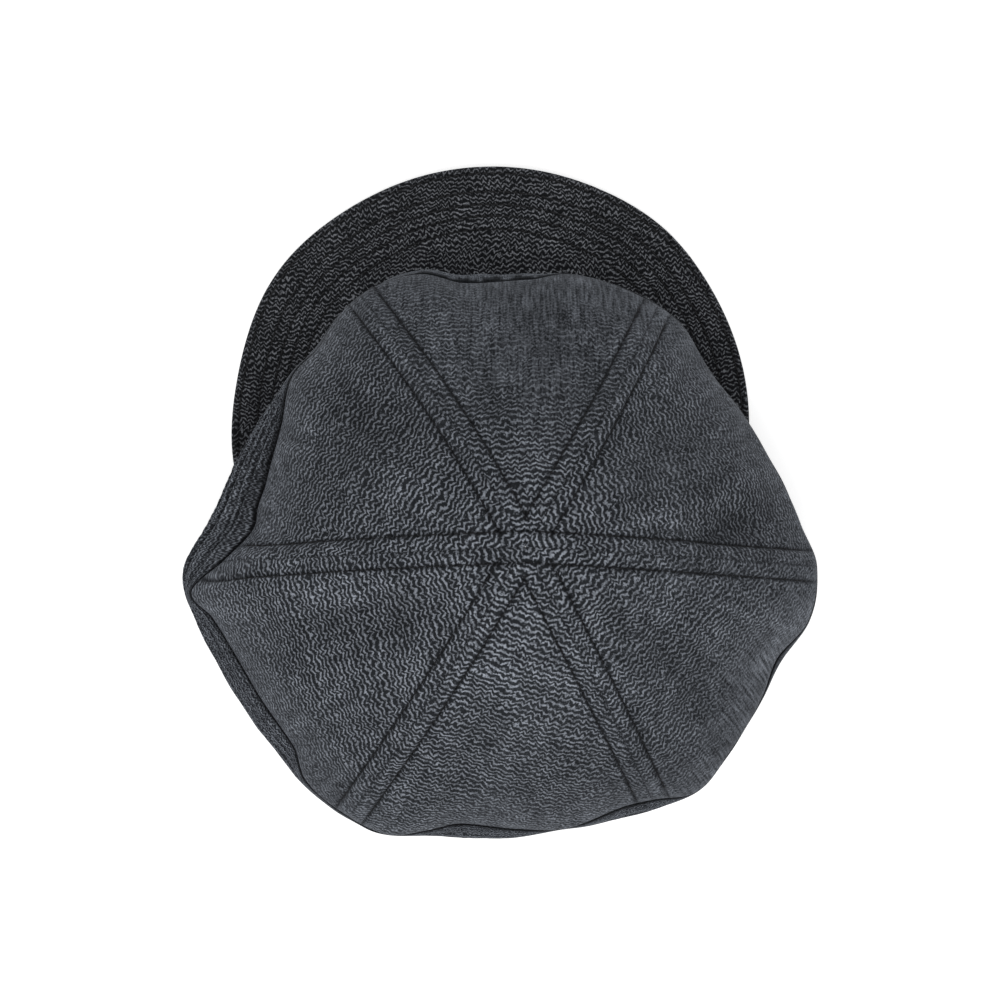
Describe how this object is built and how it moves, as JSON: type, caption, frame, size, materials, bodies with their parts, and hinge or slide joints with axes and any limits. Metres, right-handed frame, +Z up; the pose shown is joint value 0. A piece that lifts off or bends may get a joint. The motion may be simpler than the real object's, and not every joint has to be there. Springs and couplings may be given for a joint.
{
  "type": "work cap",
  "caption": "Soft cloth work cap with a puffed crown of wedge panels over a side crown, a stitched headband and a short round peak",
  "frame": {"origin": "middle of the cap's footprint, on the surface that it rests on", "axes": "+Z up, the peak points to -Y, the wearer's left is +X"},
  "size_m": [0.2522, 0.2706, 0.1047],
  "materials": {
    "crown_cloth": "heathered zigzag weave of light grey and black cotton, matt",
    "peak_cloth": "the same weave, darker, stitched flat in close rows"
  },
  "bodies": {
    "root": {"crown_panel_front": "crown_cloth", "crown_panel_front_left": "crown_cloth", "crown_panel_front_right": "crown_cloth", "crown_panel_back": "crown_cloth", "crown_panel_back_left": "crown_cloth", "crown_panel_back_right": "crown_cloth", "side_crown": "crown_cloth", "headband": "crown_cloth", "peak": "peak_cloth"}
  },
  "joints": []
}
